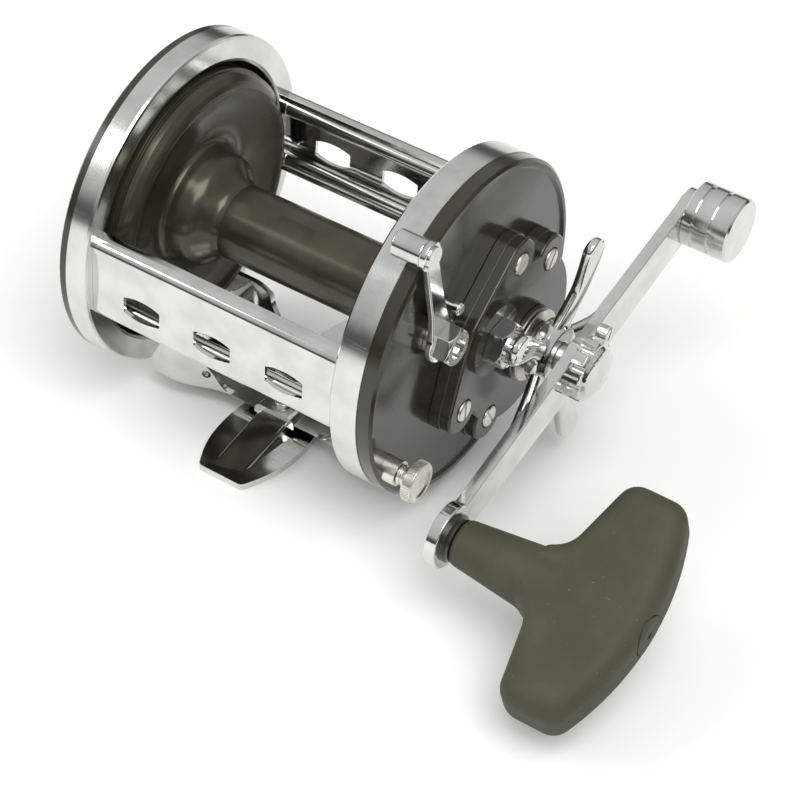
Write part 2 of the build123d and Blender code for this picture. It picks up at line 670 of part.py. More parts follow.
def crank_arm():
    centre = (crank_y, crank_z)
    shape = spot(7.8, centre) + link(7.0, centre, 5.2, grip_place()) + spot(9.25, grip_place())
    shape += link(7.0, centre, 6.6, weight_place())
    body = slab(shape, ARM_BACK, ARM_FRONT)
    body = chamfer(body.faces().sort_by(Axis.X)[-1].edges(), 0.35)
    body -= rod(75, 81, 3.2, *centre)
    body -= rod(75, 81, 2.6, *grip_place())
    body -= rod(75, 81, 2.4, *weight_place())
    return body - rod(77.4, 81, 1.1, *nut_screw_place())


def handle_nut():
    """A round nut with a notched edge and a domed cap."""
    base = turned([(ARM_FRONT, 0), (ARM_FRONT, 9.2), (83.4, 9.2), (84.0, 8.6), (84.0, 8.0), (85.4, 7.0),
                   (86.5, 4.4), (86.8, 0)], crank_y, crank_z)
    for notch in range(10):
        place = polar(9.6, 36 * notch, crank_y, crank_z)
        base -= rod(80.6, 85, 1.25, *place)
    return base - rod(79, 84.1, 3.2, crank_y, crank_z)


def nut_screw():
    place = nut_screw_place()
    return slotted_head(ARM_FRONT, 81.6, 2.3, place, 60) + rod(77.5, 80, 1.1, *place)


def counterweight():
    """A round weight in three bands, parted by two grooves."""
    groove = 0.6
    profile = [(ARM_FRONT, 0), (ARM_FRONT, WEIGHT_RADIUS - 0.4), (ARM_FRONT + 0.4, WEIGHT_RADIUS)]
    for middle in (83.3, 88.6):
        profile += [(middle - groove, WEIGHT_RADIUS), (middle - groove, WEIGHT_RADIUS - 0.7),
                    (middle + groove, WEIGHT_RADIUS - 0.7), (middle + groove, WEIGHT_RADIUS)]
    profile += [(WEIGHT_END - 0.6, WEIGHT_RADIUS), (WEIGHT_END, WEIGHT_RADIUS - 0.6), (WEIGHT_END, 0)]
    return turned(profile, *weight_place()) - rod(79, 84.6, 2.4, *weight_place())


def weight_rivet():
    place = weight_place()
    return rod(75.4, 84.5, 2.4, *place) + rod(74.9, ARM_BACK, 4.2, *place)


def grip_spindle():
    place = grip_place()
    return rod(75.2, 134.0, 2.6, *place) + rod(74.9, ARM_BACK, 4.4, *place) + rod(134.0, 135.2, 4.4, *place)


def grip_collar():
    return turned([(ARM_FRONT, 2.6), (ARM_FRONT, 6.9), (80.4, 6.9), (80.9, 6.2), (81.7, 6.2), (81.7, 2.6)], *grip_place())


def grip_block():
    """The T grip before it is bored: a tapered stem that flows into a bowed cross bar with rounded ends."""
    waist = 11.0
    upper = [(105.0, 9.0), (109.5, waist), (114.6, 35.0), (131.6, 35.0)]
    lower = [(x, -y) for x, y in reversed(upper)]
    bow = ThreePointArc(upper[-1], (GRIP_END, 0), lower[0])
    face = make_face([Polyline(*upper), bow, Polyline(*lower), Line(lower[-1], upper[0])])
    face = fillet([corner for corner in face.vertices() if abs(corner.Y) > 30], 6.0)
    face = fillet([corner for corner in face.vertices() if abs(abs(corner.Y) - waist) < 0.1], 8.0)
    block = extrude(face, amount=GRIP_THICK / 2, both=True)
    rims = [edge for edge in block.edges() if abs(abs(edge.center().Z) - GRIP_THICK / 2) < 0.1]
    block = fillet([edge for edge in rims if edge.center().X > upper[0][0] + 0.5], 5.5)
    stem = turned([(GRIP_START, 0), (GRIP_START, 6.0), (GRIP_START + 0.6, 6.6), (107.0, 9.3), (112.0, 9.0), (112.0, 0)])
    return block + stem


def grip():
    """A moulded T grip, made as a stem and a cross bar that meet face to face."""
    body = grip_block() - rod(81, 134.0, 2.7) - rod(133.7, GRIP_END + 1, PLUG_RADIUS + 0.05)
    reach = 80.0
    stem = body & (Pos(GRIP_JOINT - reach / 2, 0, 0) * Box(reach, reach, reach))
    bar = body & (Pos(GRIP_JOINT + reach / 2, 0, 0) * Box(reach, reach, reach))
    return Pos(0, *grip_place()) * Rot(GRIP_ANGLE, 0, 0) * group([stem, bar])


def grip_plug():
    """The plug over the end of the grip's spindle, flush with the bowed edge."""
    body = (rod(135.8, GRIP_END + 1, PLUG_RADIUS) & grip_block()) - rod(138.0, GRIP_END + 1, 1.0)
    return Pos(0, *grip_place()) * Rot(GRIP_ANGLE, 0, 0) * body


# ---- small moving parts -------------------------------------------------------------------------
def spool_cap():
    """The hexagonal bearing cap on the crank side, with a round nose."""
    body = hexagon_bar(61.5, 66.6, 7.1, (0, 0), 8) + rod(66.0, 68.6, 4.7)
    for hole in range(4):
        body -= rod(67.6, 69, 0.9, *polar(2.9, 45 + 90 * hole))
    return body - rod(61, 64.9, 5.0)


def tail_cap():
    """The knurled bearing cap on the tail side."""
    body = turned([(-58.7, 0), (-58.7, 8.6), (-62.2, 8.6), (-62.8, 8.0), (-62.8, 0)])
    return body + rod(-58.8, -55.6, 4.1)


def thumb_bush():
    return tube(52.3, 57.6, 3.65, 2.2, *THUMB_SCREW)


def thumb_screw():
    """The take-down screw: a round knurled head on a grooved neck."""
    neck = [(42.0, 0), (42.0, 2.1), (57.8, 2.1), (57.8, 2.9), (58.8, 2.9), (58.8, 2.4), (59.3, 2.4), (59.3, 2.9),
            (61.2, 2.9), (61.2, 6.1), (64.2, 6.1), (64.2, 4.8), (63.9, 4.6), (63.9, 0)]
    return turned(neck, *THUMB_SCREW)


def click_button():
    """A round button outside the tail plate, its stem through the slot and the tongue inside."""
    home = button_place(BUTTON_HOME)
    cap = rod(-60.2, -56.4, 3.6, *home)
    cap = fillet(cap.edges().group_by(Axis.X)[0], 0.9)
    return cap + rod(-56.6, -50.0, 1.5, *home)


def click_tongue():
    """A pawl whose nose stands just off the click gear."""
    tip = button_place(8.2 + 0.3 + 0.7)
    home = button_place(BUTTON_HOME)
    shape = link(0.7, tip, 2.2, button_place(13.0)) + link(2.2, button_place(13.0), 3.0, home)
    return slab(shape, -47.8, -46.3) + rod(-50.0, -47.7, 1.5, *home)


def anti_reverse_dog():
    """A pawl on its pin; its nose stands just off the ratchet."""
    pivot = dog_pivot()
    nose = polar(11.4, -60, crank_y, crank_z)
    shape = link(2.6, pivot, 1.0, nose) - spot(1.1 + RUNNING, pivot)
    return slab(shape, 49.3, 50.7)


def dog_pin():
    return rod(46.6, 49.0, 1.0, *dog_pivot()) + rod(48.5, 51.0, 1.1, *dog_pivot())


PARTS = {
    "left_ring": left_ring(),
    "right_ring": right_ring(),
    "tail_plate": tail_plate(),
    "tail_screws": tail_screws(),
    "handle_plate": handle_plate(),
    "inner_plate": inner_plate(),
    "housing_base": housing_base(),
    "housing_cover": housing_cover(),
    "housing_screws": housing_screws(),
    "front_plate": frame_plate(-1),
    "rear_plate": frame_plate(1),
    "front_upper_pillar": pillar(-1, PILLAR_TOP),
    "front_lower_pillar": pillar(-1, PILLAR_LOW),
    "rear_upper_pillar": pillar(1, PILLAR_TOP),
    "rear_lower_pillar": pillar(1, PILLAR_LOW),
    "stand": stand(),
    "foot": foot(),
    "foot_rivets": foot_rivets(),
    "spool": spool(),
    "spool_shaft": spool_shaft(),
    "click_gear": click_gear(),
    "tail_bearing": spool_bearing(-55.3, -50.3, 6.5, SHAFT_RADIUS),
    "crank_side_bearing": spool_bearing(46.0, 50.0, 6.5, SHAFT_RADIUS),
    "shaft_end_bearing": spool_bearing(59.6, 63.1, 4.0, TIP_RADIUS),
    "pinion": pinion(),
    "yoke": yoke(),
    "yoke_posts": yoke_posts(),
    "yoke_springs": yoke_springs(),
    "clutch_lever": clutch_lever(),
    "lever_knob": lever_knob(),
    "lever_shaft": lever_shaft(),
    "lever_nut": lever_nut(),
    "clutch_cam": clutch_cam(),
    "stop_pin": stop_pin(),
    "gear_sleeve": gear_sleeve(),
    "ratchet": ratchet(),
    "main_gear": main_gear(),
    "fibre_drag_washers": drag_washers(0),
    "metal_drag_washers": drag_washers(1),
    "collar_washer": collar_washer(),
    "spring_washers": spring_washers(),
    "star_spacer": star_spacer(),
    "star_wheel": star_wheel(),
    "crank_arm": crank_arm(),
    "handle_nut": handle_nut(),
    "nut_screw": nut_screw(),
    "counterweight": counterweight(),
    "weight_rivet": weight_rivet(),
    "grip_spindle": grip_spindle(),
    "grip_collar": grip_collar(),
    "grip": grip(),
    "grip_plug": grip_plug(),
    "spool_cap": spool_cap(),
    "tail_cap": tail_cap(),
    "thumb_bush": thumb_bush(),
    "thumb_screw": thumb_screw(),
    "click_button": click_button(),
    "click_tongue": click_tongue(),
    "anti_reverse_dog": anti_reverse_dog(),
    "dog_pin": dog_pin(),
}

for name, shape in PARTS.items():
    export_step(Pos(0, 0, AXIS_HEIGHT) * shape, f"parts/{name}.step")
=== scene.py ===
"""Looks of a trolling reel: polished plate, glossy mouldings, a dark spool and a rubber grip."""
from math import cos, pi, radians, sin, tan

import bmesh
import bpy
from mathutils import Matrix, Vector


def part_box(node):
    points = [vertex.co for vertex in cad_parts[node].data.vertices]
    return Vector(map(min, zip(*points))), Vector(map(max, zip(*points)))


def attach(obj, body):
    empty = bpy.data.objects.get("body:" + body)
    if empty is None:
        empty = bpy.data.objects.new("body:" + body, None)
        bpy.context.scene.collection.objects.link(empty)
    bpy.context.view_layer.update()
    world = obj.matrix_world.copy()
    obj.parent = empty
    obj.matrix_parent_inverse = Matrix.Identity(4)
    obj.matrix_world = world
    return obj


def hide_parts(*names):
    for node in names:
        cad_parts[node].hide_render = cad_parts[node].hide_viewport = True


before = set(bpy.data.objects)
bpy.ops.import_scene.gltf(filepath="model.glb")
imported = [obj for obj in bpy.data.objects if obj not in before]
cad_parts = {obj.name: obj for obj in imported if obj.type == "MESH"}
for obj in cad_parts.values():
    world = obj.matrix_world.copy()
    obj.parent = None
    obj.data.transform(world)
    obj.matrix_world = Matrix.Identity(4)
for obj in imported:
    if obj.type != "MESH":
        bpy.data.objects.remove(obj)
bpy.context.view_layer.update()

MM = 0.001


def axis_of(node):
    """The (y, z) place of a round CAD piece's axis."""
    low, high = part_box(node)
    centre = (low + high) / 2
    return centre.y, centre.z


SPOOL_AXIS = axis_of("spool")
CRANK_AXIS = axis_of("gear_sleeve")
WEIGHT_AXIS = axis_of("counterweight")
THUMB_AXIS = axis_of("thumb_screw")
GRIP_AXIS = axis_of("grip_spindle")
GRIP_ANGLE = radians(22)       # lie of the cross bar
GRIP_JOINT = 110.0 * MM        # where the stem of the grip meets its cross bar
STAR_ANGLE = radians(70)       # direction of the first paddle from the crank axis
STAR_PADDLES = 5


# ---- shader building ----------------------------------------------------------------------------
class Value:
    """One value in a finish. Arithmetic on it adds Math nodes."""

    def __init__(self, finish, socket):
        self.finish = finish
        self.socket = socket

    def math(self, operation, first, second):
        return self.finish.node("ShaderNodeMath", {"operation": operation}, {0: first, 1: second})

    def __add__(self, other):
        return self.math("ADD", self, other)

    __radd__ = __add__

    def __sub__(self, other):
        return self.math("SUBTRACT", self, other)

    def __rsub__(self, other):
        return self.math("SUBTRACT", other, self)

    def __mul__(self, other):
        return self.math("MULTIPLY", self, other)

    __rmul__ = __mul__

    def near(self, target, reach):
        """1 where the value is within reach of target, else 0."""
        return self.finish.node("ShaderNodeMath", {"operation": "COMPARE"}, {0: self, 1: target, 2: reach})

    def ramp(self, low, high, out_low=0.0, out_high=1.0):
        """The value mapped smoothly from low..high to out_low..out_high."""
        settings = {"interpolation_type": "SMOOTHSTEP"}
        inputs = {0: self, 1: low, 2: high, 3: out_low, 4: out_high}
        return self.finish.node("ShaderNodeMapRange", settings, inputs)


class Finish:
    """A material under construction."""

    def __init__(self, name):
        self.material = bpy.data.materials.new(name)
        self.material.use_nodes = True
        self.tree = self.material.node_tree
        self.shader = self.tree.nodes["Principled BSDF"]
        self.place = self.node("ShaderNodeTexCoord", output="Object")

    def node(self, kind, settings=None, inputs=None, output=0):
        made = self.tree.nodes.new(kind)
        for name, value in (settings or {}).items():
            setattr(made, name, value)
        for key, value in (inputs or {}).items():
            self.feed(made.inputs[key], value)
        return Value(self, made.outputs[output])

    def feed(self, socket, value):
        if isinstance(value, Value):
            self.tree.links.new(value.socket, socket)
        else:
            socket.default_value = value

    def set(self, **values):
        for name, value in values.items():
            self.feed(self.shader.inputs[name.replace("_", " ")], value)

    def noise(self, size, detail=3.0, stretch=(1, 1, 1)):
        """Noise whose features are about size metres across, drawn out along the axes of stretch."""
        place = self.node("ShaderNodeVectorMath", {"operation": "MULTIPLY"}, {0: self.place, 1: stretch})
        return self.node("ShaderNodeTexNoise", {}, {"Vector": place, "Scale": 1 / size, "Detail": detail})

    def grain(self, size):
        """Small cells, for moulded texture."""
        return self.node("ShaderNodeTexVoronoi", {}, {"Vector": self.place, "Scale": 1 / size})

    def mix(self, factor, first, second):
        return self.node("ShaderNodeMix", {"data_type": "RGBA"}, {0: factor, 6: first, 7: second}, output=2)

    def radius_about(self, axis):
        """Distance from an axis parallel to X, in metres."""
        shifted = self.node("ShaderNodeVectorMath", {"operation": "SUBTRACT"}, {0: self.place, 1: (0, *axis)})
        flat = self.node("ShaderNodeVectorMath", {"operation": "MULTIPLY"}, {0: shifted, 1: (0, 1, 1)})
        return self.node("ShaderNodeVectorMath", {"operation": "LENGTH"}, {0: flat}, output="Value")

    def turning(self, axis, size):
        """Fine lathe lines round an axis: noise that changes only with radius and length."""
        along = self.node("ShaderNodeSeparateXYZ", {}, {0: self.place}, output="X")
        place = self.node("ShaderNodeCombineXYZ", {}, {0: along, 1: self.radius_about(axis), 2: 0.0})
        return self.node("ShaderNodeTexNoise", {}, {"Vector": place, "Scale": 1 / size, "Detail": 2.0})

    def bump(self, height, strength, distance=0.1 * MM):
        inputs = {"Strength": strength, "Distance": distance, "Height": height}
        self.set(Normal=self.node("ShaderNodeBump", {}, inputs))


def colour(red, green, blue):
    return (red, green, blue, 1.0)


def plated(name, bright, shade, rough, lines_axis=None):
    """Polished plate: faint cloudiness, hairline scratches and, on turned pieces, lathe lines."""
    finish = Finish(name)
    cloud = finish.noise(9 * MM, 4.0)
    specks = finish.noise(0.9 * MM, 2.0).ramp(0.56, 0.72)
    scratch = finish.noise(0.5 * MM, 2.0, (0.06, 1, 1)).ramp(0.6, 0.75)
    finish.set(Metallic=1.0)
    finish.set(Base_Color=finish.mix(cloud.ramp(0.35, 0.7), colour(*bright), colour(*shade)))
    finish.set(Roughness=rough + 0.05 * cloud + 0.05 * scratch + 0.03 * specks)
    if lines_axis:
        finish.bump(finish.turning(lines_axis, 0.35 * MM) + 0.3 * scratch, 0.10)
    else:
        finish.bump(cloud + 0.25 * scratch, 0.05)
    return finish.material


def moulded(name, base, wear, rough, coat):
    """Glossy moulded plastic with a faint orange peel, dust and rubbed patches."""
    finish = Finish(name)
    peel = finish.noise(1.6 * MM, 2.0)
    patches = finish.noise(16 * MM, 4.0)
    dust = finish.noise(0.35 * MM, 1.0).ramp(0.66, 0.74)
    worn = patches.ramp(0.5, 0.75)
    finish.set(Base_Color=finish.mix(0.35 * worn + 0.4 * dust, colour(*base), colour(*wear)))
    finish.set(Roughness=rough + 0.10 * worn + 0.08 * dust)
    finish.set(Coat_Weight=coat, Coat_Roughness=0.12)
    finish.bump(peel + 0.15 * dust, 0.12)
    return finish.material


def dark_plated(name):
    """The spool's dark plating, with fine lathe lines."""
    finish = Finish(name)
    cloud = finish.noise(12 * MM, 4.0)
    lines = finish.turning(SPOOL_AXIS, 0.4 * MM)
    finish.set(Metallic=0.55)
    dark = colour(0.056, 0.054, 0.035)
    finish.set(Base_Color=finish.mix(cloud.ramp(0.35, 0.7), dark, colour(0.078, 0.074, 0.052)))
    finish.set(Roughness=0.16 + 0.08 * cloud + 0.05 * lines)
    finish.bump(lines, 0.06)
    return finish.material


def rubber(name):
    """Matte grip rubber: fine grain, pale scuffs and a moulding line along the edge of the bar."""
    finish = Finish(name)
    grain = finish.noise(0.35 * MM, 3.0)
    pits = finish.grain(0.5 * MM)
    patches = finish.noise(14 * MM, 4.0)
    scuff = finish.noise(1.1 * MM, 3.0).ramp(0.68, 0.78)
    axis = (0, *GRIP_AXIS)
    turned = finish.node("ShaderNodeVectorMath", {"operation": "SUBTRACT"}, {0: finish.place, 1: axis})
    angle = {"Vector": turned, "Angle": -GRIP_ANGLE}
    turned = finish.node("ShaderNodeVectorRotate", {"rotation_type": "X_AXIS"}, angle)
    height = finish.node("ShaderNodeSeparateXYZ", {}, {0: turned}, output="Z")
    seam = height.near(0.0, 0.16 * MM)
    base = finish.mix(patches.ramp(0.35, 0.7), colour(0.043, 0.045, 0.022), colour(0.056, 0.058, 0.031))
    scuffed = finish.mix(0.4 * scuff, base, colour(0.20, 0.20, 0.16))
    finish.set(Base_Color=finish.mix(0.8 * seam, scuffed, colour(0.03, 0.03, 0.02)))
    finish.set(Roughness=0.62 + 0.12 * grain)
    finish.bump(grain + 0.5 * pits - 1.2 * seam, 0.35)
    return finish.material


def machined(name, bright, dark, rough):
    """Turned or ground metal with a cloudy tone."""
    finish = Finish(name)
    cloud = finish.noise(5 * MM, 4.0)
    marks = finish.noise(0.3 * MM, 2.0, (1, 0.1, 1))
    finish.set(Metallic=1.0)
    finish.set(Base_Color=finish.mix(cloud.ramp(0.3, 0.7), colour(*bright), colour(*dark)))
    finish.set(Roughness=rough + 0.12 * cloud + 0.05 * marks)
    finish.bump(marks, 0.12)
    return finish.material


CHROME = (0.70, 0.705, 0.68)
CHROME_SHADE = (0.60, 0.61, 0.59)
MATERIALS = {
    "chrome": plated("polished_chrome", CHROME, CHROME_SHADE, 0.07),
    "ring": plated("ring_chrome", CHROME, CHROME_SHADE, 0.13, SPOOL_AXIS),
    "weight": plated("weight_chrome", CHROME, CHROME_SHADE, 0.12, WEIGHT_AXIS),
    "plastic": moulded("black_moulding", (0.022, 0.021, 0.012), (0.045, 0.043, 0.028), 0.16, 0.25),
    "collar": moulded("black_collar", (0.022, 0.021, 0.016), (0.05, 0.048, 0.038), 0.28, 0.2),
    "spool": dark_plated("dark_spool_plating"),
    "rubber": rubber("grip_rubber"),
    "nickel": machined("nickel", (0.80, 0.79, 0.74), (0.66, 0.64, 0.58), 0.2),
    "brass": machined("brass", (0.72, 0.62, 0.40), (0.52, 0.43, 0.26), 0.22),
    "steel": machined("ground_steel", (0.62, 0.62, 0.60), (0.48, 0.48, 0.46), 0.24),
    "fibre": moulded("pressed_fibre", (0.16, 0.10, 0.055), (0.24, 0.17, 0.10), 0.6, 0.0),
}


# ---- mesh building ------------------------------------------------------------------------------
def finished(piece, material, body, nodes=()):
    """Gives a piece its material and body, and hides the CAD pieces that it stands for."""
    piece.data.materials.clear()
    piece.data.materials.append(MATERIALS[material])
    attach(piece, body)
    if nodes:
        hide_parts(*nodes)
    return piece


def new_piece(name, mesh):
    piece = bpy.data.objects.new(name, mesh)
    bpy.context.scene.collection.objects.link(piece)
    return piece


def settled(piece):
    """Applies a piece's modifiers to a plain mesh."""
    bpy.context.view_layer.update()
    depsgraph = bpy.context.evaluated_depsgraph_get()
    mesh = bpy.data.meshes.new_from_object(piece.evaluated_get(depsgraph))
    piece.modifiers.clear()
    piece.data = mesh
    return piece


def smooth(piece, angle=32):
    """Shades a piece smooth, but for edges sharper than the angle."""
    piece.data.shade_smooth()
    piece.data.set_sharp_from_angle(angle=radians(angle))
    return piece


def softened(name, node, width=0.25, steps=2):
    """A copy of a CAD piece with its sharp edges rounded by width millimetres."""
    work = bmesh.new()
    work.from_mesh(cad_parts[node].data)
    bmesh.ops.remove_doubles(work, verts=work.verts, dist=1e-6)
    bmesh.ops.dissolve_limit(work, angle_limit=radians(0.6), verts=work.verts, edges=work.edges)
    mesh = bpy.data.meshes.new(name)
    work.to_mesh(mesh)
    work.free()
    piece = new_piece(name, mesh)
    bevel = piece.modifiers.new("rounding", "BEVEL")
    bevel.width = width * MM
    bevel.segments = steps
    bevel.limit_method = "ANGLE"
    bevel.angle_limit = radians(32)
    bevel.use_clamp_overlap = True
    bevel.harden_normals = False
    smooth(piece, 60)
    normals = piece.modifiers.new("even_shading", "WEIGHTED_NORMAL")
    normals.keep_sharp = True
    return settled(piece)


def even(name, node):
    """A copy of a CAD piece with its shallow edges shaded away."""
    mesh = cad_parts[node].data.copy()
    mesh.name = name
    work = bmesh.new()
    work.from_mesh(mesh)
    bmesh.ops.remove_doubles(work, verts=work.verts, dist=1e-6)
    work.to_mesh(mesh)
    work.free()
    piece = smooth(new_piece(name, mesh), 30)
    normals = piece.modifiers.new("even_shading", "WEIGHTED_NORMAL")
    normals.keep_sharp = True
    return settled(piece)


def rounded(profile, radius, steps=4):
    """A profile with each inner corner rounded by an arc."""
    points = [Vector(profile[0])]
    for before, corner, after in zip(profile, profile[1:], profile[2:]):
        corner = Vector(corner)
        one = Vector(before) - corner
        two = Vector(after) - corner
        half = one.angle(two) / 2
        if half > radians(86):
            points.append(corner)
            continue
        reach = min(radius / tan(half), 0.45 * one.length, 0.45 * two.length)
        arc = reach * tan(half)
        centre = corner + (one.normalized() + two.normalized()).normalized() * (arc / sin(half))
        start = corner + one.normalized() * reach - centre
        end = corner + two.normalized() * reach - centre
        for step in range(steps + 1):
            direction = start.lerp(end, step / steps)
            points.append(centre + direction.normalized() * arc)
    points.append(Vector(profile[-1]))
    return points


def lathe(name, profile, axis, radius=0.3, segments=160, closed=True):
    """A round piece from its (x, radius) profile in millimetres, turned about an axis parallel to X."""
    if closed:
        loop = list(profile[-1:]) + list(profile) + list(profile[:1])
        points = rounded(loop, radius)[1:-1]
    else:
        points = rounded(profile, radius)
    work = bmesh.new()
    rings = []
    for x, r in points:
        if r < 1e-6:
            rings.append([work.verts.new((x * MM, axis[0], axis[1]))])
            continue
        ring = []
        for step in range(segments):
            turn = 2 * pi * step / segments
            ring.append(work.verts.new((x * MM, axis[0] + r * MM * cos(turn), axis[1] + r * MM * sin(turn))))
        rings.append(ring)
    pairs = list(zip(rings, rings[1:]))
    if closed:
        pairs.append((rings[-1], rings[0]))
    for one, two in pairs:
        for step in range(segments):
            after = (step + 1) % segments
            corners = [one[step % len(one)], one[after % len(one)]]
            corners += [two[after % len(two)], two[step % len(two)]]
            corners = list(dict.fromkeys(corners))
            if len(corners) > 2:
                work.faces.new(corners)
    bmesh.ops.recalc_face_normals(work, faces=work.faces)
    mesh = bpy.data.meshes.new(name)
    work.to_mesh(mesh)
    work.free()
    return smooth(new_piece(name, mesh), 50)


# ---- geometry nodes -----------------------------------------------------------------------------
class Grower:
    """A Geometry Nodes tree under construction, with named inputs for its sizes."""

    KINDS = {int: "NodeSocketInt", float: "NodeSocketFloat", tuple: "NodeSocketVector"}

    def __init__(self, name, sizes):
        self.tree = bpy.data.node_groups.new(name, "GeometryNodeTree")
        self.tree.interface.new_socket("Geometry", in_out="INPUT", socket_type="NodeSocketGeometry")
        for size, value in sizes.items():
            self.tree.interface.new_socket(size, in_out="INPUT", socket_type=self.KINDS[type(value)])
        self.tree.interface.new_socket("Material", in_out="INPUT", socket_type="NodeSocketMaterial")
        self.tree.interface.new_socket("Geometry", in_out="OUTPUT", socket_type="NodeSocketGeometry")
        self.inputs = self.tree.nodes.new("NodeGroupInput").outputs

    def node(self, kind, settings=None, inputs=None, output=0):
        made = self.tree.nodes.new(kind)
        for name, value in (settings or {}).items():
            setattr(made, name, value)
        for key, value in (inputs or {}).items():
            if isinstance(value, bpy.types.NodeSocket):
                self.tree.links.new(value, made.inputs[key])
            else:
                made.inputs[key].default_value = value
        return made.outputs[output]

    def finish(self, geometry):
        real = self.node("GeometryNodeRealizeInstances", {}, {0: geometry})
        painted = self.node("GeometryNodeSetMaterial", {}, {0: real, "Material": self.inputs["Material"]})
        out = self.tree.nodes.new("NodeGroupOutput")
        self.tree.links.new(painted, out.inputs[0])
        return self.tree


def fan_tree():
    """Copies of the input mesh, turned about an axis parallel to X by one step after another."""
    grower = Grower("fan_of_copies", {"Count": 1, "Step": 1.0, "Centre": (0, 0, 0)})
    inputs = grower.inputs
    back = grower.node("ShaderNodeVectorMath", {"operation": "SCALE"}, {0: inputs["Centre"], "Scale": -1.0})
    centred = grower.node("GeometryNodeTransform", {}, {0: inputs["Geometry"], "Translation": back})
    stack = grower.node("GeometryNodeMeshLine", {}, {"Count": inputs["Count"], "Offset": (0, 0, 0)})
    index = grower.node("GeometryNodeInputIndex")
    turn = grower.node("ShaderNodeMath", {"operation": "MULTIPLY"}, {0: index, 1: inputs["Step"]})
    rotation = grower.node("ShaderNodeCombineXYZ", {}, {0: turn})
    instances = {"Points": stack, "Instance": centred, "Rotation": rotation}
    copies = grower.node("GeometryNodeInstanceOnPoints", {}, instances)
    placed = grower.node("GeometryNodeTransform", {}, {0: copies, "Translation": inputs["Centre"]})
    return grower.finish(placed)


FAN = fan_tree()


def fanned(piece, material, **sizes):
    """Runs the fan tree on a piece's mesh and keeps the result as its plain mesh."""
    modifier = piece.modifiers.new("growth", "NODES")
    modifier.node_group = FAN
    sizes["Material"] = MATERIALS[material]
    for item in FAN.interface.items_tree:
        if item.in_out == "INPUT" and item.name in sizes:
            modifier[item.identifier] = sizes[item.name]
    return settled(piece)


def block(name, low, high, taper=0.0):
    """A small bar between two corners in millimetres, its upper edges drawn in by taper."""
    work = bmesh.new()
    bmesh.ops.create_cube(work, size=1.0)
    for corner in work.verts:
        share = [low[i] + (high[i] - low[i]) * (corner.co[i] + 0.5) for i in range(3)]
        if corner.co.z > 0:
            share[1] += taper if corner.co.y < 0 else -taper
        corner.co = Vector(share) * MM
    mesh = bpy.data.meshes.new(name)
    work.to_mesh(mesh)
    work.free()
    return new_piece(name, mesh)


def joined(name, pieces):
    """One piece from several."""
    work = bmesh.new()
    for piece in pieces:
        work.from_mesh(piece.data)
        bpy.data.objects.remove(piece)
    mesh = bpy.data.meshes.new(name)
    work.to_mesh(mesh)
    work.free()
    return new_piece(name, mesh)


def flowing(points, steps=6):
    """A smooth line through the points."""
    ends = [points[0]] + list(points) + [points[-1]]
    ends = [Vector(point) for point in ends]
    line = []
    for before, one, two, after in zip(ends, ends[1:], ends[2:], ends[3:]):
        for step in range(steps):
            t = step / steps
            bend = (2 * before - 5 * one + 4 * two - after) * t * t
            bend += (3 * one - before - 3 * two + after) * t ** 3
            line.append(tuple((2 * one + (two - before) * t + bend) / 2))
    return line + [tuple(points[-1])]


# ---- the reel's pieces --------------------------------------------------------------------------
def soften_cad_pieces():
    """CAD pieces whose shape is right and whose edges only need rounding."""
    rows = (
        ("handle_plate", "plastic", "frame", "black_plastic", 0.3),
        ("housing_base", "plastic", "frame", "black_plastic", 0.35),
        ("housing_cover", "plastic", "frame", "black_plastic", 0.35),
        ("front_plate", "chrome", "frame", "chrome_plate", 0.3),
        ("rear_plate", "chrome", "frame", "chrome_plate", 0.3),
        ("stand", "chrome", "frame", "chrome_plate", 0.35),
        ("foot", "chrome", "frame", "chrome_plate", 0.7),
        ("crank_arm", "chrome", "crank", "chrome_plate", 0.35),
        ("clutch_lever", "chrome", "lever", "chrome_plate", 0.45),
        ("lever_nut", "chrome", "lever", "chrome_plate", 0.25),
        ("spool_cap", "chrome", "crank_side_cap", "chrome_plate", 0.3),
        ("handle_nut", "chrome", "crank", "chrome_plate", 0.3),
        ("click_button", "plastic", "click", "black_plastic", 0.25),
    )
    for node, material, body, slot, width in rows:
        finished(softened(node + "_shell", node, width), material, body, [node])


def spool():
    """The spool: rims with a groove, a bulb that flows from each rim down to the arbor, and a lined patch."""
    axis = SPOOL_AXIS
    rim = [(45.5, 3.0), (45.5, 9.0), (42.4, 9.0), (42.4, 32.0), (43.6, 37.2), (45.5, 37.6), (45.5, 40.3),
           (40.4, 40.3), (40.2, 39.5), (39.4, 39.5), (39.2, 40.0), (37.6, 39.5)]
    face = flowing([(36.2, 38.0), (35.2, 35.8), (36.6, 33.0), (38.6, 28.0), (39.4, 22.5), (38.4, 18.8),
                    (35.0, 17.6), (31.2, 16.2), (28.2, 13.4), (26.2, 11.7), (24.4, 11.2)])
    half = rim + face
    profile = half + [(-x, r) for x, r in reversed(half)]
    finished(lathe("spool_shell", profile, axis, 0.12, 192), "spool", "line_spool", ["spool"])
    line = block("arbor_line", (-9.0, -0.16, 11.0), (3.0, 0.16, 11.32))
    first_line = Matrix.Rotation(radians(12), 4, "X")
    line.data.transform(Matrix.Translation((0, *axis)) @ first_line)
    lines = 11
    line_pitch = radians(2.9)
    fanned(line, "spool", Count=lines, Step=line_pitch, Centre=(0, *axis))
    line.name = "arbor_lines"
    finished(line, "spool", "line_spool")


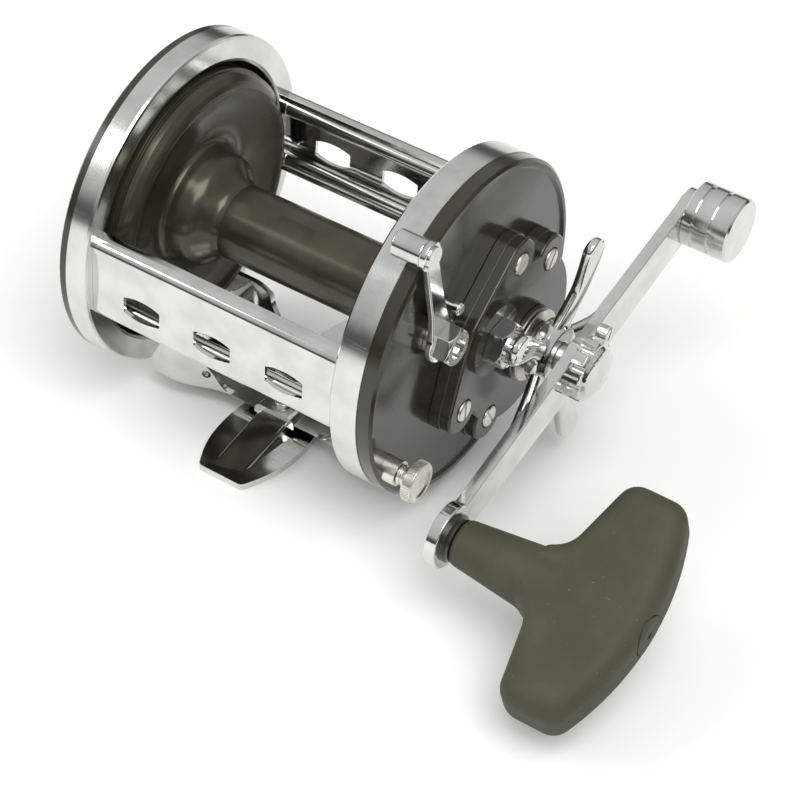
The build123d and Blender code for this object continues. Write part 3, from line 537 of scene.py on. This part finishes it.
def star_arm():
    """One paddle of the star: narrow waist, broad rounded tip, swept outwards."""
    around = 28
    steps = 45
    root = 6.0
    waist = 20.0
    tip_middle = 32.3
    end = 36.35
    bend = -2.5
    work = bmesh.new()
    rings = []
    for step in range(steps + 1):
        radius = root + (end - root) * sin(pi / 2 * step / steps)
        if radius < waist:
            share = (radius - root) / (waist - root)
            half = 4.2 - 1.4 * sin(pi / 2 * share)
            lean = bend * share
        else:
            share = min(1.0, (radius - waist) / 12.4)
            half = 2.8 + 1.5 * (share ** 2) * (3 - 2 * share)
            lean = bend * (1 - share)
        past = max(0.0, radius - tip_middle) / 4.1
        close = max(0.0, 1 - past * past) ** 0.5
        thick = 1.75 * (0.35 + 0.65 * close)
        middle_x = 69.5 + 4.4 * (radius - 4.5) / 33.5 + 0.7 * sin(pi * (radius - 6) / 30)
        ring = []
        for spoke in range(around):
            turn = 2 * pi * spoke / around
            across = abs(cos(turn)) ** 0.5 * (1 if cos(turn) > 0 else -1) * half * max(close, 0.05)
            up = abs(sin(turn)) ** 0.6 * (1 if sin(turn) > 0 else -1) * thick
            angle = STAR_ANGLE + radians(lean)
            y = radius * cos(angle) - across * sin(angle)
            z = radius * sin(angle) + across * cos(angle)
            place = (middle_x + up) * MM, CRANK_AXIS[0] + y * MM, CRANK_AXIS[1] + z * MM
            ring.append(work.verts.new(place))
        rings.append(ring)
    for one, two in zip(rings, rings[1:]):
        for spoke in range(around):
            after = (spoke + 1) % around
            work.faces.new((one[spoke], one[after], two[after], two[spoke]))
    work.faces.new(rings[0])
    work.faces.new(rings[-1])
    bmesh.ops.recalc_face_normals(work, faces=work.faces)
    mesh = bpy.data.meshes.new("star_arm")
    work.to_mesh(mesh)
    work.free()
    return new_piece("star_arm", mesh)


def star():
    """The star drag wheel: a turned hub and five paddles."""
    pitch = radians(360 / STAR_PADDLES)
    arms = fanned(star_arm(), "chrome", Count=STAR_PADDLES, Step=pitch, Centre=(0, *CRANK_AXIS))
    profile = [(66.4, 4.1), (66.4, 8.6), (67.2, 9.6), (70.8, 9.6), (72.8, 8.2), (72.8, 4.1)]
    hub = lathe("star_hub", profile, CRANK_AXIS, 0.6)
    wheel = smooth(joined("star_wheel_shell", [arms, hub]), 50)
    finished(wheel, "chrome", "star", ["star_wheel"])


def grip():
    """The rubber grip: one skin over stem and cross bar, which flow into each other."""
    work = bmesh.new()
    work.from_mesh(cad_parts["grip"].data)
    inner = [face for face in work.faces
             if all(abs(corner.co.x - GRIP_JOINT) < 1e-6 for corner in face.verts)]
    bmesh.ops.delete(work, geom=inner, context="FACES")
    bmesh.ops.remove_doubles(work, verts=work.verts, dist=1e-5)
    mesh = bpy.data.meshes.new("grip_shell")
    work.to_mesh(mesh)
    work.free()
    piece = new_piece("grip_shell", mesh)
    remesh = piece.modifiers.new("skin", "REMESH")
    remesh.mode = "VOXEL"
    remesh.voxel_size = 0.6 * MM
    relax = piece.modifiers.new("relax", "SMOOTH")
    relax.factor = 0.5
    relax.iterations = 6
    smooth(settled(piece), 60)
    finished(piece, "rubber", "handle_grip", ["grip"])


def knurls(name, x0, x1, radius, axis, count, material, body):
    """Fine ridges round the edge of a knob."""
    width = 0.62 * pi * radius / count
    sunk = 0.4
    proud = 0.28
    ridge = block(name, (x0, -width, radius - sunk), (x1, width, radius + proud), 0.7 * width)
    ridge.data.transform(Matrix.Translation((0, *axis)))
    fanned(ridge, material, Count=count, Step=2 * pi / count, Centre=(0, *axis))
    finished(ridge, material, body)


def caps():
    """The take-down screw and the tail cap, turned and knurled."""
    neck = [(42.0, 0), (42.0, 2.1), (57.8, 2.1), (57.8, 2.9), (58.8, 2.9), (58.8, 2.4), (59.3, 2.4),
            (59.3, 2.9), (61.2, 2.9), (61.2, 5.8), (64.2, 5.8), (64.2, 4.9), (63.7, 4.2), (63.6, 0)]
    screw = lathe("thumb_screw_shell", neck, THUMB_AXIS, 0.2, 120, False)
    finished(screw, "nickel", "take_down_screw", ["thumb_screw"])
    knurls("thumb_screw_knurls", 61.5, 63.9, 5.75, THUMB_AXIS, 48,
           "nickel", "take_down_screw")
    cap = [(-55.6, 0), (-55.6, 4.1), (-58.7, 4.1), (-58.7, 8.3), (-62.3, 8.3), (-62.8, 7.6), (-62.6, 0)]
    knob = lathe("tail_cap_shell", cap, SPOOL_AXIS, 0.3, 160, False)
    finished(knob, "plastic", "tail_side_cap", ["tail_cap"])
    knurls("tail_cap_knurls", -62.1, -58.9, 8.25, SPOOL_AXIS, 60, "plastic", "tail_side_cap")


soften_cad_pieces()
finished(even("tail_plate_shell", "tail_plate"), "plastic", "frame", ["tail_plate"])
spool()
star()
grip()
caps()


# ---- CAD pieces that keep their shape -----------------------------------------------------------
KEPT = {
    "ring": "left_ring right_ring front_upper_pillar front_lower_pillar rear_upper_pillar rear_lower_pillar",
    "weight": "counterweight",
    "chrome": "lever_knob stop_pin",
    "collar": "grip_collar collar_washer star_spacer",
    "rubber": "grip_plug",
    "nickel": "thumb_bush tail_screws housing_screws foot_rivets nut_screw weight_rivet grip_spindle "
              "lever_shaft spring_washers",
    "brass": "inner_plate main_gear yoke click_gear",
    "steel": "spool_shaft tail_bearing crank_side_bearing shaft_end_bearing pinion yoke_posts yoke_springs "
             "clutch_cam gear_sleeve ratchet metal_drag_washers anti_reverse_dog dog_pin click_tongue",
    "fibre": "fibre_drag_washers",
}
for material, nodes in KEPT.items():
    for node in nodes.split():
        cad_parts[node].data.materials.clear()
        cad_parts[node].data.materials.append(MATERIALS[material])


# ---- floor, lights, camera ----------------------------------------------------------------------
def floor():
    mesh = bpy.data.meshes.new("floor")
    half = 3.0
    corners = [(-half, -half, 0), (half, -half, 0), (half, half, 0), (-half, half, 0)]
    mesh.from_pydata(corners, [], [(0, 1, 2, 3)])
    sheet = new_piece("floor", mesh)
    finish = Finish("pale_floor")
    cloud = finish.noise(0.4, 2.0)
    finish.set(Base_Color=finish.mix(cloud, colour(0.93, 0.93, 0.91), colour(0.95, 0.95, 0.93)))
    finish.set(Roughness=0.75)
    mesh.materials.append(finish.material)


def area_light(name, place, target, size, power):
    light = bpy.data.lights.new(name, "AREA")
    light.shape = "RECTANGLE"
    light.size, light.size_y = size
    light.energy = power
    lamp = bpy.data.objects.new(name, light)
    lamp.location = place
    lamp.rotation_euler = (Vector(target) - Vector(place)).to_track_quat("-Z", "Y").to_euler()
    bpy.context.scene.collection.objects.link(lamp)


def studio():
    """A white tent: a bright top, a darker band round the horizon and two soft lights."""
    world = bpy.data.worlds.new("studio")
    bpy.context.scene.world = world
    world.use_nodes = True
    tree = world.node_tree
    place = tree.nodes.new("ShaderNodeTexCoord")
    split = tree.nodes.new("ShaderNodeSeparateXYZ")
    ramp = tree.nodes.new("ShaderNodeValToRGB")
    tree.links.new(place.outputs["Generated"], split.inputs[0])
    tree.links.new(split.outputs["Z"], ramp.inputs[0])
    tree.links.new(ramp.outputs[0], tree.nodes["Background"].inputs["Color"])
    stops = ((0.0, 0.10), (0.16, 0.12), (0.34, 0.75), (1.0, 1.0))
    while len(ramp.color_ramp.elements) < len(stops):
        ramp.color_ramp.elements.new(0.5)
    for element, (position, level) in zip(ramp.color_ramp.elements, stops):
        element.position = position
        element.color = (level, level, level * 0.98, 1)
    tree.nodes["Background"].inputs["Strength"].default_value = 0.74
    area_light("key", (0.6, -0.5, 1.3), (0, 0, 0.05), (1.0, 1.0), 14)
    area_light("fill", (-1.0, -0.6, 0.8), (0, 0, 0.05), (0.8, 0.8), 6)


def camera():
    """Looks down at the crank side from the front left of the reel."""
    right = Vector((0.8317, 0.5524, 0.0552))
    down = Vector((0.4008, -0.5288, -0.7482))
    forward = Vector((-0.3841, 0.6444, -0.6612))
    data = bpy.data.cameras.new("camera")
    data.sensor_width = 36
    data.lens = 118.2
    data.clip_start = 0.01
    view = bpy.data.objects.new("camera", data)
    turn = Matrix((right, -down, -forward)).transposed()
    view.matrix_world = Matrix.Translation((0.3201, -0.4825, 0.5133)) @ turn.to_4x4()
    bpy.context.scene.collection.objects.link(view)
    bpy.context.scene.camera = view


floor()
studio()
camera()
bpy.context.scene.view_settings.view_transform = "Standard"
